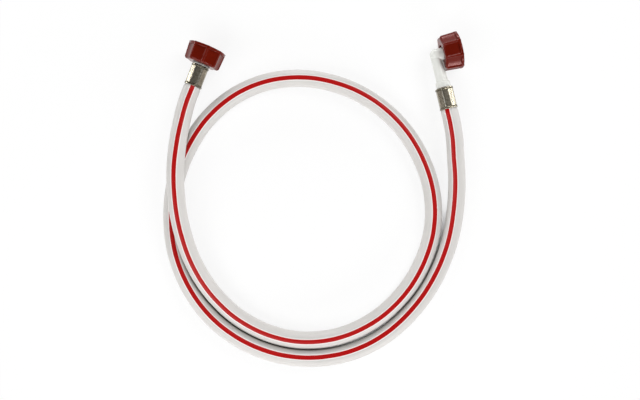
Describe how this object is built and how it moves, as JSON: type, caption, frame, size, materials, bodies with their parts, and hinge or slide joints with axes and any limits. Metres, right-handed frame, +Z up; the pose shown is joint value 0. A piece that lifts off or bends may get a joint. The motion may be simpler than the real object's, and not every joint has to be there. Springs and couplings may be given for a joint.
{
  "type": "appliance inlet hose",
  "caption": "Water inlet hose lying in one and a half turns, with a straight end and an elbow end, each with a crimped ferrule, a seal and a loose threaded nut.",
  "frame": {"origin": "on the floor, under the middle of the box of the whole hose as it lies", "axes": "+X towards the side of the elbow end, +Y towards the side where both ends come together, +Z up from the floor"},
  "size_m": [0.2819, 0.3119, 0.0348],
  "materials": {
    "hose_pvc": "satin pale grey PVC with one red stripe",
    "ferrule_steel": "plated steel, crimped",
    "tail_plastic": "moulded, off-white, satin",
    "seal_rubber": "matt black rubber",
    "nut_plastic": "moulded, dark red, glossy"
  },
  "bodies": {
    "hose": {"hose": "hose_pvc", "straight_ferrule": "ferrule_steel", "straight_tail": "tail_plastic", "straight_washer": "seal_rubber", "elbow_ferrule": "ferrule_steel", "elbow_fitting": "tail_plastic", "elbow_washer": "seal_rubber"},
    "straight_nut": {"straight_nut": "nut_plastic"},
    "elbow_nut": {"elbow_nut": "nut_plastic"}
  },
  "joints": [
    {"name": "straight_nut_spin", "type": "hinge", "parent": "hose", "child": "straight_nut", "pos_m": [-0.10101, 0.13359, 0.0175], "axis": [0.3649, 0.9311, 0], "continuous": true},
    {"name": "elbow_nut_spin", "type": "hinge", "parent": "hose", "child": "elbow_nut", "pos_m": [0.12624, 0.1375, 0.0175], "axis": [0.9724, 0.2334, 0], "continuous": true}
  ]
}
